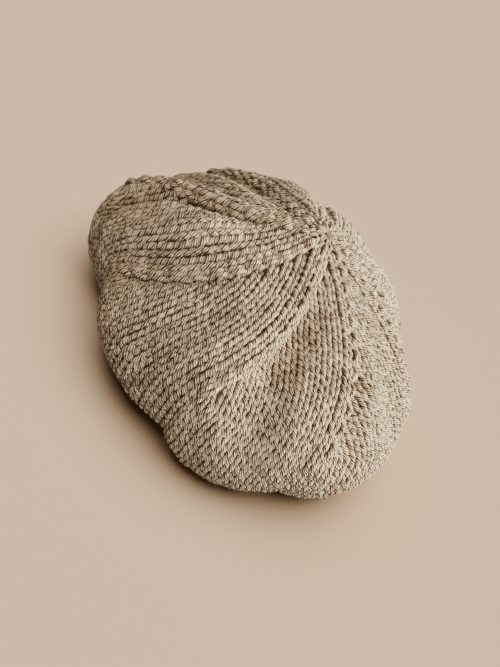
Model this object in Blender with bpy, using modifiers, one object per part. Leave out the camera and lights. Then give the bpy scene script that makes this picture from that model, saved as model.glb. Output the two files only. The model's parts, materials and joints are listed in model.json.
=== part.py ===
"""Knit beret: a knitted crown of eight gores and the ribbed headband that it is gathered into.

Metres, +Z up. The beret stands on the lower edge of its headband, with the middle of its outline,
seen from above, over the origin. Azimuths are in degrees, counter-clockwise seen from above, about
the crown centre, and start at -Y, the front.
"""
import math
from collections import namedtuple

import bmesh
import bpy
import numpy as np
from mathutils import Matrix

MM = 0.001

# ---- Sizes of the crown -------------------------------------------------------------------------
RIM_RADIUS = 0.130          # the widest level, before the gores swell or draw in
RIM_LEVEL = 0.042           # height of the widest level above the floor
CROWN_HEIGHT = 0.0852       # crown centre above the widest level
TIP_POWER = 0.842           # under 1 gives the crown centre its slight peak
SHOULDER_POWER = 2.31       # over 2 gives a full, round shoulder
UNDERSIDE_DEPTH = 0.0351    # widest level down to the lowest ring of the underside
UNDERSIDE_RADIUS = 0.0975   # radius of that lowest ring
UNDERSIDE_RISE = 0.010      # how far the underside climbs again, in to the headband
RISE_SHARE = 0.6            # share of the way in that this climb takes
UNDERSIDE_EVENNESS = 0.35   # share of the folds' height that is left under the rim
FLOOR_CLEARANCE = 0.002     # the rim is flattened here, so that the headband alone carries the beret
KNIT_WALL = 0.005           # two thicknesses of bulky yarn

# ---- Sizes of the headband ----------------------------------------------------------------------
BAND_INNER_RADIUS = 0.0835
BAND_WALL = 0.0045
BAND_HEIGHT = 0.022
BAND_RIBS = 36
RIB_RELIEF = 0.0012         # depth of the furrow between two ribs
BAND_EDGE = 0.0010          # rounding of its four edges
FABRIC_GAP = 0.0003         # the two solids clear each other by this much
FACET_ALLOWANCE = 0.0005    # the crown's faceted edge comes this much closer between its corners

# ---- Folds ----------------------------------------------------------------------------------------
# A row for each decrease line and the gore on its counter-clockwise side.
# near, half, rim: the line's azimuth at the crown centre, halfway out and at the rim, in degrees.
# reach:  how far the line stands outside the round rim, in mm.
# swell:  how far the gore's puffed rim stands beyond its two lines, in mm.
# sag:    how far the gore hangs below its two lines on the top, in mm.
# peak:   where across the gore, from 0 to 1, its swell is greatest.
# lift:   how far the gore's rim is carried up, or droops, in mm.
# rib:    how far the line's own rib stands out of the fabric, in mm.
Fold = namedtuple("Fold", "near half rim reach swell sag peak lift rib")
FOLDS = [
    Fold(near=15.0, half=12.5, rim=-2.0, reach=2.5, swell=8.0, sag=-1.0, peak=0.32, lift=-6.5, rib=1.0),
    Fold(near=50.5, half=49.0, rim=36.0, reach=6.5, swell=5.5, sag=-2.5, peak=0.42, lift=-6.0, rib=1.6),
    Fold(near=82.0, half=88.5, rim=89.5, reach=-9.5, swell=-2.0, sag=0.5, peak=0.54, lift=-7.5, rib=1.4),
    Fold(near=141.0, half=142.0, rim=131.0, reach=-10.0, swell=7.0, sag=-8.0, peak=0.69, lift=-4.5, rib=1.8),
    Fold(near=188.0, half=192.0, rim=179.5, reach=-4.0, swell=3.5, sag=-8.0, peak=0.57, lift=1.0, rib=2.4),
    Fold(near=238.0, half=221.0, rim=230.5, reach=3.5, swell=-1.5, sag=0.0, peak=0.49, lift=-7.5, rib=1.4),
    Fold(near=303.0, half=276.5, rim=270.0, reach=1.5, swell=10.0, sag=-2.5, peak=0.48, lift=2.5, rib=2.6),
    Fold(near=333.5, half=332.5, rim=305.0, reach=-16.5, swell=8.5, sag=-0.5, peak=0.43, lift=0.5, rib=1.8),
]
# Each span below is where a fold starts, is full, begins to fade and is gone: the sag's in shares
# of the rim radius, the others' as places along the profile.
SWELL_SPAN = (0.45, 0.95, 1.6, 2.8)
SAG_SPAN = (0.0, 0.35, 0.60, 0.95)
LIFT_SPAN = (0.3, 1.0, 1.6, 2.8)
CREST_SPAN = (0.05, 0.25, 1.0, 1.6)
EVENING_SPAN = (1.0, 1.7)   # where the folds' height drops to the underside's share of it
FULLNESS_POWER = 2.2        # how blunt a gore's bulge is, 2 being a parabola
CREST_HALF_WIDTH = 0.0085   # of a decrease line's rib

# ---- Dents ----------------------------------------------------------------------------------------
# A row for each dent that the slack fabric has fallen into, or swelling if its depth is negative.
# inner, middle, outer: where across its gore it runs at its inner end, halfway and at its outer end.
# start, end: how far from the crown centre, along the fabric, it starts and ends, in mm.
# depth, width: its depth and its half width, in mm.
Dent = namedtuple("Dent", "gore inner middle outer start end depth width")
DENTS = [
    Dent(gore=0, inner=0.08, middle=0.26, outer=0.72, start=35.0, end=180.0, depth=8.8, width=22.0),
    Dent(gore=0, inner=0.05, middle=0.05, outer=0.37, start=80.0, end=164.0, depth=4.3, width=22.0),
    Dent(gore=0, inner=0.92, middle=0.88, outer=0.83, start=12.0, end=162.0, depth=-2.5, width=19.0),
    Dent(gore=1, inner=0.06, middle=0.08, outer=0.19, start=72.0, end=163.0, depth=7.8, width=19.0),
    Dent(gore=1, inner=0.43, middle=0.59, outer=0.66, start=61.0, end=160.0, depth=3.6, width=24.0),
    Dent(gore=2, inner=0.66, middle=0.49, outer=0.34, start=37.0, end=100.0, depth=7.4, width=11.0),
    Dent(gore=5, inner=0.29, middle=0.19, outer=0.23, start=51.0, end=151.0, depth=7.8, width=13.0),
    Dent(gore=5, inner=0.75, middle=0.60, outer=0.53, start=26.0, end=145.0, depth=-4.4, width=12.0),
    Dent(gore=6, inner=0.20, middle=0.22, outer=0.80, start=34.0, end=186.0, depth=11.0, width=16.0),
    Dent(gore=6, inner=0.55, middle=0.68, outer=0.95, start=48.0, end=160.0, depth=-5.0, width=18.0),
    Dent(gore=7, inner=0.05, middle=0.05, outer=0.19, start=75.0, end=151.0, depth=3.9, width=15.0),
    Dent(gore=7, inner=0.63, middle=0.56, outer=0.95, start=80.0, end=181.0, depth=4.4, width=24.0),
    Dent(gore=7, inner=0.67, middle=0.88, outer=0.95, start=41.0, end=172.0, depth=-1.8, width=21.0),
]
DENT_FADE = 0.35            # share of a dent's length that each end takes to fade
DENT_CLEARANCE = 9.0        # a dent reaches its depth this far from a decrease line, in mm

# ---- Facets ---------------------------------------------------------------------------------------
PROFILE_SAMPLES = 3001      # points that the profile's length is measured on
PROFILE_STEPS = 36          # from the crown centre to the headband
GORE_STATIONS = (0.0, 0.05, 0.13, 0.28, 0.50, 0.72, 0.87, 0.95)     # closer beside the lines
FACETS_PER_RIB = 4
WELD = 0.00001

# ---- Finish, colours in linear RGB ----------------------------------------------------------------
YARN_COLOUR = (0.33, 0.25, 0.175, 1.0)
BAND_COLOUR = (0.30, 0.225, 0.155, 1.0)
YARN_ROUGHNESS = 0.9


def smooth_step(value, start, end):
    """0 before start, 1 after end, and a smooth rise between them."""
    x = np.clip((value - start) / (end - start), 0.0, 1.0)
    return x * x * (3.0 - 2.0 * x)


def within(value, start, full, fading, gone):
    """A smooth hill: 0 before start, 1 from full to fading, and 0 again once gone."""
    return smooth_step(value, start, full) * (1.0 - smooth_step(value, fading, gone))


def crown_profile():
    """The outer line from the crown centre, over the shoulder and in under the rim to the headband.

    Returns length along the line, radius, height over the widest level, and the place on it (0 at
    the centre, 1 at the widest level, 2 at the lowest ring, 3 at the headband), at even steps.
    """
    place = np.linspace(0.0, 3.0, PROFILE_SAMPLES)
    over = np.clip(place, 0.0, 1.0) * math.pi / 2.0
    under = np.clip(place - 1.0, 0.0, 1.0) * math.pi / 2.0
    inward = np.clip(place - 2.0, 0.0, 1.0)
    edge_radius = BAND_INNER_RADIUS + BAND_WALL + FABRIC_GAP + FACET_ALLOWANCE
    top_radius = RIM_RADIUS * np.sin(over) ** (2.0 / TIP_POWER)
    top_height = CROWN_HEIGHT * np.clip(np.cos(over), 0.0, 1.0) ** (2.0 / SHOULDER_POWER)
    turn_radius = UNDERSIDE_RADIUS + (RIM_RADIUS - UNDERSIDE_RADIUS) * np.cos(under)
    inward_radius = UNDERSIDE_RADIUS + (edge_radius - UNDERSIDE_RADIUS) * inward
    inward_height = UNDERSIDE_RISE * smooth_step(inward, 0.0, RISE_SHARE) - UNDERSIDE_DEPTH
    radius = np.where(place <= 1.0, top_radius, np.where(place <= 2.0, turn_radius, inward_radius))
    height = np.where(place <= 1.0, top_height,
                      np.where(place <= 2.0, -UNDERSIDE_DEPTH * np.sin(under), inward_height))
    length = np.append(0.0, np.cumsum(np.hypot(np.diff(radius), np.diff(height))))
    even = np.linspace(0.0, length[-1], PROFILE_STEPS + 1)
    return [even] + [np.interp(even, length, line) for line in (radius, height, place)]


def profile_normals(radius, height):
    """Outward normals of the profile, as radial and upward parts."""
    along_radius = np.gradient(radius)
    along_height = np.gradient(height)
    size = np.hypot(along_radius, along_height)
    return -along_height / size, along_radius / size


def through(start, middle, end, share):
    """The value at share of the way along a parabola through three values."""
    return (start * (1.0 - share) * (1.0 - 2.0 * share) + middle * 4.0 * share * (1.0 - share)
            + end * share * (2.0 * share - 1.0))


def line_azimuth(index, spread):
    """Azimuth of decrease line number index where the radius is spread times the rim's."""
    fold = FOLDS[index % len(FOLDS)]
    return through(fold.near, fold.half, fold.rim, spread) + 360.0 * (index // len(FOLDS))


def dent_depth(gore, across, length, width):
    """How deep the dents are, in mm, at length mm from the centre in a gore that is width mm wide."""
    depth = 0.0
    for dent in DENTS:
        if dent.gore != gore:
            continue
        share = (length - dent.start) / (dent.end - dent.start)
        middle = through(dent.inner, dent.middle, dent.outer, share)
        aside = np.clip((across - middle) * width / dent.width, -1.0, 1.0)
        along = within(share, 0.0, DENT_FADE, 1.0 - DENT_FADE, 1.0)
        depth += dent.depth * along * (1.0 - aside ** 2) ** 2
    return depth * smooth_step(min(across, 1.0 - across) * width, 0.0, DENT_CLEARANCE)


def crown_point(gore, across, length, radius, height, place, normal):
    """A point of the folded crown: across runs from 0 to 1 over the gore, the rest is its profile."""
    fold = FOLDS[gore]
    next_fold = FOLDS[(gore + 1) % len(FOLDS)]
    spread = 1.0 if place > 1.0 else radius / RIM_RADIUS
    start = line_azimuth(gore, spread)
    span = line_azimuth(gore + 1, spread) - start
    azimuth = math.radians(start + span * across)
    bent = across ** (math.log(0.5) / math.log(fold.peak))
    fullness = 1.0 - abs(2.0 * bent - 1.0) ** FULLNESS_POWER
    on_rim = within(place, *SWELL_SPAN)
    on_top = within(spread, *SAG_SPAN)
    reach = fold.reach + (next_fold.reach - fold.reach) * across
    out = MM * ((fold.swell * fullness + reach) * on_rim - fold.sag * fullness * on_top)
    width = math.radians(span) * radius
    from_line = min(across, 1.0 - across) * width
    crest = max(0.0, 1.0 - (from_line / CREST_HALF_WIDTH) ** 2) ** 2
    ridge = fold.rib if across < 0.5 else next_fold.rib
    out += MM * ridge * crest * within(place, *CREST_SPAN)
    out -= MM * dent_depth(gore, across, length / MM, width / MM)
    lift = MM * fold.lift * (1.0 - (2.0 * across - 1.0) ** 2) * within(place, *LIFT_SPAN)
    upright = 1.0 - (1.0 - UNDERSIDE_EVENNESS) * smooth_step(place, *EVENING_SPAN)
    ring = radius + normal[0] * out
    level = max(RIM_LEVEL + height + normal[1] * out * upright + lift, FLOOR_CLEARANCE)
    return ring * math.sin(azimuth), -ring * math.cos(azimuth), level


def rolled_grid(columns, rows, place_vertex):
    """A grid whose vertices are placed by place_vertex(column, row), with its meeting edges welded."""
    mesh = bmesh.new()
    bmesh.ops.create_grid(mesh, x_segments=columns, y_segments=rows, size=1.0)
    for vertex in mesh.verts:
        column = round((vertex.co.x + 1.0) / 2.0 * columns)
        row = round((vertex.co.y + 1.0) / 2.0 * rows)
        vertex.co = place_vertex(column, row)
    bmesh.ops.remove_doubles(mesh, verts=mesh.verts, dist=WELD)
    bmesh.ops.recalc_face_normals(mesh, faces=mesh.faces)
    return mesh


def crown_mesh():
    """The crown's outer surface, open where the headband starts."""
    length, radius, height, place = crown_profile()
    normal_out, normal_up = profile_normals(radius, height)
    per_gore = len(GORE_STATIONS)
    columns = per_gore * len(FOLDS)

    def place_vertex(column, row):
        gore, station = divmod(column % columns, per_gore)
        normal = (normal_out[row], normal_up[row])
        return crown_point(gore, GORE_STATIONS[station], length[row], radius[row], height[row],
                           place[row], normal)

    return rolled_grid(columns, PROFILE_STEPS, place_vertex)


def band_mesh():
    """The headband: a low upright ring with ribs on both faces and rounded edges."""
    columns = BAND_RIBS * FACETS_PER_RIB
    outer = BAND_INNER_RADIUS + BAND_WALL
    inner = BAND_INNER_RADIUS
    edge = BAND_EDGE
    # radius, height, and which way the ribs' furrows go in: -1 from outside, 1 from inside
    section = [
        (outer - edge, 0.0, 0), (outer, edge, -1), (outer, BAND_HEIGHT - edge, -1),
        (outer - edge, BAND_HEIGHT, 0), (inner + edge, BAND_HEIGHT, 0),
        (inner, BAND_HEIGHT - edge, 1), (inner, edge, 1), (inner + edge, 0.0, 0),
    ]

    def place_vertex(column, row):
        turn = 2.0 * math.pi * (column % columns) / columns
        radius, height, furrow = section[row % len(section)]
        depth = RIB_RELIEF * (0.5 - 0.5 * math.cos(BAND_RIBS * turn))
        radius += furrow * depth
        return radius * math.sin(turn), -radius * math.cos(turn), height

    return rolled_grid(columns, len(section), place_vertex)


def knit_material(name, colour):
    """A matt yarn finish."""
    material = bpy.data.materials.new(name)
    material.use_nodes = True
    shader = material.node_tree.nodes["Principled BSDF"]
    shader.inputs["Base Color"].default_value = colour
    shader.inputs["Roughness"].default_value = YARN_ROUGHNESS
    shader.inputs["Metallic"].default_value = 0.0
    return material


def add_object(name, mesh, material, collection):
    """Turn a bmesh into a smooth-shaded object of the collection."""
    data = bpy.data.meshes.new(name)
    mesh.to_mesh(data)
    mesh.free()
    data.shade_smooth()
    data.materials.append(material)
    made = bpy.data.objects.new(name, data)
    collection.objects.link(made)
    return made


def add_crown(collection):
    """The crown: its outer surface, thickened inward to the knitted wall."""
    crown = add_object("crown", crown_mesh(), knit_material("heather_yarn", YARN_COLOUR), collection)
    wall = crown.modifiers.new("knit wall", "SOLIDIFY")
    wall.thickness = KNIT_WALL
    wall.offset = -1.0
    wall.use_quality_normals = True
    return crown


def add_band(collection):
    """The headband, a closed ring."""
    return add_object("band", band_mesh(), knit_material("band_yarn", BAND_COLOUR), collection)


def centre_on_origin(widest, others):
    """Move the pieces level until the middle of the widest one stands over the origin."""
    points = np.array([vertex.co for vertex in widest.data.vertices])
    middle = (points.min(axis=0) + points.max(axis=0)) / 2.0
    shift = Matrix.Translation((-middle[0], -middle[1], 0.0))
    for piece in [widest] + others:
        piece.data.transform(shift)


def main():
    for old in list(bpy.data.objects):
        bpy.data.objects.remove(old, do_unlink=True)
    collection = bpy.data.collections.new("knit_beret")
    bpy.context.scene.collection.children.link(collection)
    crown = add_crown(collection)
    band = add_band(collection)
    centre_on_origin(crown, [band])


main()
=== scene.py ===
"""Knit beret: the yarn, stitch by stitch, over the solids of the beret.

The crown is knitted from the headband towards its centre in eight gores, so every stitch is laid on
the same folded surface that the crown's solid has. Geometry Nodes sweep the yarn along the stitches.
Metres, +Z up. Azimuths are in degrees, counter-clockwise seen from above, and start at -Y, the front.
"""

import json
import math
from collections import namedtuple

import bmesh
import bpy
import numpy as np
from bpy.props import FloatProperty, FloatVectorProperty, IntProperty, PointerProperty
from mathutils import Matrix, Vector

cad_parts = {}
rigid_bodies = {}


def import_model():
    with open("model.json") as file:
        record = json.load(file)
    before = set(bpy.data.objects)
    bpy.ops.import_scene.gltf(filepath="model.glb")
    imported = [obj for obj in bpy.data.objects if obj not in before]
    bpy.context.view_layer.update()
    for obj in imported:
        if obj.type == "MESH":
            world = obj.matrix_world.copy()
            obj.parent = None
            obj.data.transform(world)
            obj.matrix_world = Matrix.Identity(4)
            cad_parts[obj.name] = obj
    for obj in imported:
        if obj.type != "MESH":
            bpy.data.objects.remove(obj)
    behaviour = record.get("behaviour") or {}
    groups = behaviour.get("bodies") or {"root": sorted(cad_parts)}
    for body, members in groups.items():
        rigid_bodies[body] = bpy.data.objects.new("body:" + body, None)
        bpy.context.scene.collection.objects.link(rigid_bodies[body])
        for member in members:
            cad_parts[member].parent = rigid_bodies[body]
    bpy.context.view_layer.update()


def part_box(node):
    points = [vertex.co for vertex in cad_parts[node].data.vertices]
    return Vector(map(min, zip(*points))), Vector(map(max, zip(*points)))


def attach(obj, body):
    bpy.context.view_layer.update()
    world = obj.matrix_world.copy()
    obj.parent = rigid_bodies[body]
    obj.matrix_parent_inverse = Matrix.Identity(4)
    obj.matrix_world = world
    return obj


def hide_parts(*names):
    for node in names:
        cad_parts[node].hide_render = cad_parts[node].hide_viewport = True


bl_info = {
    "name": "Knit Beret",
    "version": (1, 0, 0),
    "blender": (4, 5, 0),
    "location": "View3D > Sidebar > Beret",
    "description": "Knits a gored beret out of yarn and sets it on a studio floor",
    "category": "Object",
}

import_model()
BAND_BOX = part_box("band")
AXIS = (BAND_BOX[0] + BAND_BOX[1]) / 2.0    # the crown centre stands over the headband's middle
MM = 0.001

# ---- The crown's surface, with the same values as its solid -------------------------------------
RIM_RADIUS = 0.130
RIM_LEVEL = 0.042
CROWN_HEIGHT = 0.0852
TIP_POWER = 0.842
SHOULDER_POWER = 2.31
UNDERSIDE_DEPTH = 0.0351
UNDERSIDE_RADIUS = 0.0975
UNDERSIDE_RISE = 0.010
RISE_SHARE = 0.6
UNDERSIDE_EVENNESS = 0.35
FLOOR_CLEARANCE = 0.002
BAND_OUTER_RADIUS = (BAND_BOX[1].x - BAND_BOX[0].x) / 2.0
BAND_WALL = 0.0045
BAND_MIDDLE_RADIUS = BAND_OUTER_RADIUS - BAND_WALL / 2.0
EDGE_RADIUS = BAND_OUTER_RADIUS + 0.0008
CREST_HALF_WIDTH = 0.0085
SWELL_SPAN = (0.45, 0.95, 1.6, 2.8)
SAG_SPAN = (0.0, 0.35, 0.60, 0.95)
LIFT_SPAN = (0.3, 1.0, 1.6, 2.8)
CREST_SPAN = (0.05, 0.25, 1.0, 1.6)
EVENING_SPAN = (1.0, 1.7)
FULLNESS_POWER = 2.2
PROFILE_SAMPLES = 3001
CLOTH_LENGTHS = 161         # the table of how the slack cloth spreads over the folds
CLOTH_SHARES = 81
CLOTH_EVENNESS = 0.85       # 1 spreads the stitches evenly over the folds, 0 by angle alone
CLOTH_START = 0.0010        # the first length from the centre that has cloth

# A row for each decrease line and the gore on its counter-clockwise side: the line's azimuth at the
# centre, halfway out and at the rim, in degrees; how far the line stands out, the gore swells beyond
# it and sags below it, in mm; where across the gore it is fullest; how far its rim is lifted; and
# how high the line's own rib is.
Fold = namedtuple("Fold", "near half rim reach swell sag peak lift rib")
FOLDS = [
    Fold(near=15.0, half=12.5, rim=-2.0, reach=2.5, swell=8.0, sag=-1.0, peak=0.32, lift=-6.5, rib=1.0),
    Fold(near=50.5, half=49.0, rim=36.0, reach=6.5, swell=5.5, sag=-2.5, peak=0.42, lift=-6.0, rib=1.6),
    Fold(near=82.0, half=88.5, rim=89.5, reach=-9.5, swell=-2.0, sag=0.5, peak=0.54, lift=-7.5, rib=1.4),
    Fold(near=141.0, half=142.0, rim=131.0, reach=-10.0, swell=7.0, sag=-8.0, peak=0.69, lift=-4.5, rib=1.8),
    Fold(near=188.0, half=192.0, rim=179.5, reach=-4.0, swell=3.5, sag=-8.0, peak=0.57, lift=1.0, rib=2.4),
    Fold(near=238.0, half=221.0, rim=230.5, reach=3.5, swell=-1.5, sag=0.0, peak=0.49, lift=-7.5, rib=1.4),
    Fold(near=303.0, half=276.5, rim=270.0, reach=1.5, swell=10.0, sag=-2.5, peak=0.48, lift=2.5, rib=2.6),
    Fold(near=333.5, half=332.5, rim=305.0, reach=-16.5, swell=8.5, sag=-0.5, peak=0.43, lift=0.5, rib=1.8),
]
GORES = len(FOLDS)

# A row for each dent that the crown's slack fabric has fallen into, or swelling if its depth is
# negative: its gore; where across the gore it runs at its inner end, halfway and at its outer end; how
# far from the centre it starts and ends; its depth and its half width, the last four in mm.
Dent = namedtuple("Dent", "gore inner middle outer start end depth width")
DENTS = [
    Dent(gore=0, inner=0.08, middle=0.26, outer=0.72, start=35.0, end=180.0, depth=8.8, width=22.0),
    Dent(gore=0, inner=0.05, middle=0.05, outer=0.37, start=80.0, end=164.0, depth=4.3, width=22.0),
    Dent(gore=0, inner=0.92, middle=0.88, outer=0.83, start=12.0, end=162.0, depth=-2.5, width=19.0),
    Dent(gore=1, inner=0.06, middle=0.08, outer=0.19, start=72.0, end=163.0, depth=7.8, width=19.0),
    Dent(gore=1, inner=0.43, middle=0.59, outer=0.66, start=61.0, end=160.0, depth=3.6, width=24.0),
    Dent(gore=2, inner=0.66, middle=0.49, outer=0.34, start=37.0, end=100.0, depth=7.4, width=11.0),
    Dent(gore=5, inner=0.29, middle=0.19, outer=0.23, start=51.0, end=151.0, depth=7.8, width=13.0),
    Dent(gore=5, inner=0.75, middle=0.60, outer=0.53, start=26.0, end=145.0, depth=-4.4, width=12.0),
    Dent(gore=6, inner=0.20, middle=0.22, outer=0.80, start=34.0, end=186.0, depth=11.0, width=16.0),
    Dent(gore=6, inner=0.55, middle=0.68, outer=0.95, start=48.0, end=160.0, depth=-5.0, width=18.0),
    Dent(gore=7, inner=0.05, middle=0.05, outer=0.19, start=75.0, end=151.0, depth=3.9, width=15.0),
    Dent(gore=7, inner=0.63, middle=0.56, outer=0.95, start=80.0, end=181.0, depth=4.4, width=24.0),
    Dent(gore=7, inner=0.67, middle=0.88, outer=0.95, start=41.0, end=172.0, depth=-1.8, width=21.0),
]
DENT_FADE = 0.35            # share of a dent's length that each end takes to fade
DENT_CLEARANCE = 9.0        # a dent reaches its depth this far from a decrease line, in mm
FOLD_COLUMNS = {name: np.array([getattr(fold, name) for fold in FOLDS]) for name in Fold._fields}


def smooth_step(value, start, end):
    """0 before start, 1 after end, and a smooth rise between them."""
    x = np.clip((value - start) / (end - start), 0.0, 1.0)
    return x * x * (3.0 - 2.0 * x)


def within(value, start, full, fading, gone):
    """A smooth hill: 0 before start, 1 from full to fading, and 0 again once gone."""
    return smooth_step(value, start, full) * (1.0 - smooth_step(value, fading, gone))


def crown_profile():
    """The crown's outer line from its centre, over the shoulder and in to the headband, as columns:
    length along it, radius, height over the widest level, place, outward normal (radial, upward)."""
    place = np.linspace(0.0, 3.0, PROFILE_SAMPLES)
    over = np.clip(place, 0.0, 1.0) * math.pi / 2.0
    under = np.clip(place - 1.0, 0.0, 1.0) * math.pi / 2.0
    inward = np.clip(place - 2.0, 0.0, 1.0)
    top_radius = RIM_RADIUS * np.sin(over) ** (2.0 / TIP_POWER)
    top_height = CROWN_HEIGHT * np.clip(np.cos(over), 0.0, 1.0) ** (2.0 / SHOULDER_POWER)
    turn_radius = UNDERSIDE_RADIUS + (RIM_RADIUS - UNDERSIDE_RADIUS) * np.cos(under)
    inward_radius = UNDERSIDE_RADIUS + (EDGE_RADIUS - UNDERSIDE_RADIUS) * inward
    inward_height = UNDERSIDE_RISE * smooth_step(inward, 0.0, RISE_SHARE) - UNDERSIDE_DEPTH
    radius = np.where(place <= 1.0, top_radius, np.where(place <= 2.0, turn_radius, inward_radius))
    height = np.where(place <= 1.0, top_height,
                      np.where(place <= 2.0, -UNDERSIDE_DEPTH * np.sin(under), inward_height))
    length = np.append(0.0, np.cumsum(np.hypot(np.diff(radius), np.diff(height))))
    even = np.linspace(0.0, length[-1], PROFILE_SAMPLES)
    radius, height, place = [np.interp(even, length, line) for line in (radius, height, place)]
    along_radius, along_height = np.gradient(radius), np.gradient(height)
    size = np.hypot(along_radius, along_height)
    return np.stack([even, radius, height, place, -along_height / size, along_radius / size])


PROFILE = crown_profile()
PROFILE_LENGTH = PROFILE[0, -1]


def through(start, middle, end, share):
    """The value at share of the way along a parabola through three values."""
    return (start * ((1.0 - share) * (1.0 - 2.0 * share)) + middle * (4.0 * share * (1.0 - share))
            + end * (share * (2.0 * share - 1.0)))


def line_azimuth(index, spread):
    """Azimuth of decrease line number index where the radius is spread times the rim's."""
    near, half, rim = [FOLD_COLUMNS[name][index % GORES] for name in ("near", "half", "rim")]
    return through(near, half, rim, spread) + 360.0 * (index // GORES)


def dent_depth(gore, across, length, width):
    """How deep the dents are, in mm, at length mm from the centre in a gore that is width mm wide."""
    depth = 0.0
    for dent in DENTS:
        share = (length - dent.start) / (dent.end - dent.start)
        middle = through(dent.inner, dent.middle, dent.outer, share)
        aside = np.clip((across - middle) * width / dent.width, -1.0, 1.0)
        along = within(share, 0.0, DENT_FADE, 1.0 - DENT_FADE, 1.0)
        depth = depth + np.where(gore == dent.gore, dent.depth * along * (1.0 - aside ** 2) ** 2, 0.0)
    return depth * smooth_step(np.minimum(across, 1.0 - across) * width, 0.0, DENT_CLEARANCE)


def around_axis(ring, azimuth, level):
    """Points at distance ring from the beret's axis."""
    return np.stack([AXIS.x + ring * np.sin(azimuth), AXIS.y - ring * np.cos(azimuth),
                     np.broadcast_to(level, azimuth.shape)], axis=-1)


def level_normals(azimuth):
    """Level unit vectors that point away from the axis."""
    return np.stack([np.sin(azimuth), -np.cos(azimuth), np.zeros_like(azimuth)], axis=-1)


def crown_points(gore, across, length):
    """Points of the crown's outer surface: arrays of gore number, share of the way across it, and
    length along the profile from the centre. A share below 0 or over 1 lies in the next gore."""
    columns = [np.interp(length, PROFILE[0], column) for column in PROFILE[1:]]
    radius, height, place, normal_out, normal_up = columns
    spread = np.where(place > 1.0, 1.0, radius / RIM_RADIUS)
    asked_span = line_azimuth(gore + 1, spread) - line_azimuth(gore, spread)
    beyond = np.where(across > 1.0, 1, np.where(across < 0.0, -1, 0))
    gore = gore + beyond
    start = line_azimuth(gore, spread)
    span = line_azimuth(gore + 1, spread) - start
    carried = np.where(beyond > 0, across - 1.0, across) * asked_span / span
    across = np.where(beyond == 0, across, np.where(beyond > 0, carried, 1.0 + carried))
    across = np.clip(across, 0.0, 1.0)
    gore = gore % GORES
    fold = {name: column[gore] for name, column in FOLD_COLUMNS.items()}
    next_reach = FOLD_COLUMNS["reach"][(gore + 1) % GORES]
    azimuth = np.radians(start + span * across)
    bent = across ** (math.log(0.5) / np.log(fold["peak"]))
    fullness = 1.0 - np.abs(2.0 * bent - 1.0) ** FULLNESS_POWER
    on_rim = within(place, *SWELL_SPAN)
    on_top = within(spread, *SAG_SPAN)
    reach = fold["reach"] + (next_reach - fold["reach"]) * across
    out = MM * ((fold["swell"] * fullness + reach) * on_rim - fold["sag"] * fullness * on_top)
    from_line = np.minimum(across, 1.0 - across) * np.radians(span) * radius
    crest = np.clip(1.0 - (from_line / CREST_HALF_WIDTH) ** 2, 0.0, 1.0) ** 2
    rib = MM * np.where(across < 0.5, fold["rib"], FOLD_COLUMNS["rib"][(gore + 1) % GORES])
    out = out + rib * crest * within(place, *CREST_SPAN)
    out = out - dent_depth(gore, across, length / MM, np.radians(span) * radius / MM) * MM
    lift = MM * fold["lift"] * (1.0 - (2.0 * across - 1.0) ** 2) * within(place, *LIFT_SPAN)
    upright = 1.0 - (1.0 - UNDERSIDE_EVENNESS) * smooth_step(place, *EVENING_SPAN)
    # the way in to the headband keeps its radius: where the rim is drawn in, it would fold over itself
    ring = radius + np.where(place > 2.0, 0.0, normal_out) * out
    level = np.maximum(RIM_LEVEL + height + normal_up * out * upright + lift, FLOOR_CLEARANCE)
    return around_axis(ring, azimuth, level)


def unit(vectors):
    """The same directions at length 1."""
    return vectors / np.maximum(np.linalg.norm(vectors, axis=-1, keepdims=True), 1e-12)


def crown_normals(gore, across, length):
    """Outward normals of the crown's surface, by differences over a tenth of a stitch."""
    across_step, length_step = 0.012, 0.0006
    sideways = (crown_points(gore, across + across_step, length)
                - crown_points(gore, across - across_step, length))
    towards_centre = (crown_points(gore, across, length - length_step)
                      - crown_points(gore, across, length + length_step))
    return unit(np.cross(unit(sideways), unit(towards_centre)))


def cloth_places():
    """Where across each gore, by angle, an even share of the way across its cloth is, and how wide the
    cloth is there: tables with a row for each gore and, in it, one for each length from the centre."""
    gore = np.arange(GORES)[:, None, None]
    across = np.linspace(0.0, 1.0, CLOTH_SHARES)[None, None, :]
    length = np.linspace(CLOTH_START, PROFILE_LENGTH, CLOTH_LENGTHS)[None, :, None]
    points = crown_points(*np.broadcast_arrays(gore, across, length))
    steps = np.linalg.norm(np.diff(points, axis=2), axis=-1)
    walked = np.append(np.zeros_like(steps[..., :1]), np.cumsum(steps, axis=2), axis=2)
    shares = walked / walked[..., -1:]
    even = across[0, 0]
    table = [[np.interp(even, share, even) for share in rows] for rows in shares]
    return np.array(table) * CLOTH_EVENNESS + even * (1.0 - CLOTH_EVENNESS), walked[..., -1]


CLOTH_PLACES, CLOTH_WIDTHS = cloth_places()


def cloth_across(gore, share, length):
    """The place across a gore, by angle, that is share of the way across its cloth, and the cloth's
    width there."""
    place = np.clip((length - CLOTH_START) / (PROFILE_LENGTH - CLOTH_START), 0.0, 1.0)
    row = place * (CLOTH_LENGTHS - 1.001)    # just short of the last row, so that one comes after it
    inside = np.clip(share, 0.0, 1.0)
    column = inside * (CLOTH_SHARES - 1.001)
    low_row, low_column = row.astype(int), column.astype(int)
    up, along = row - low_row, column - low_column
    lower = (CLOTH_PLACES[gore, low_row, low_column] * (1.0 - along)
             + CLOTH_PLACES[gore, low_row, low_column + 1] * along)
    upper = (CLOTH_PLACES[gore, low_row + 1, low_column] * (1.0 - along)
             + CLOTH_PLACES[gore, low_row + 1, low_column + 1] * along)
    width = CLOTH_WIDTHS[gore, low_row] * (1.0 - up) + CLOTH_WIDTHS[gore, low_row + 1] * up
    return lower * (1.0 - up) + upper * up + share - inside, width


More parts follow.
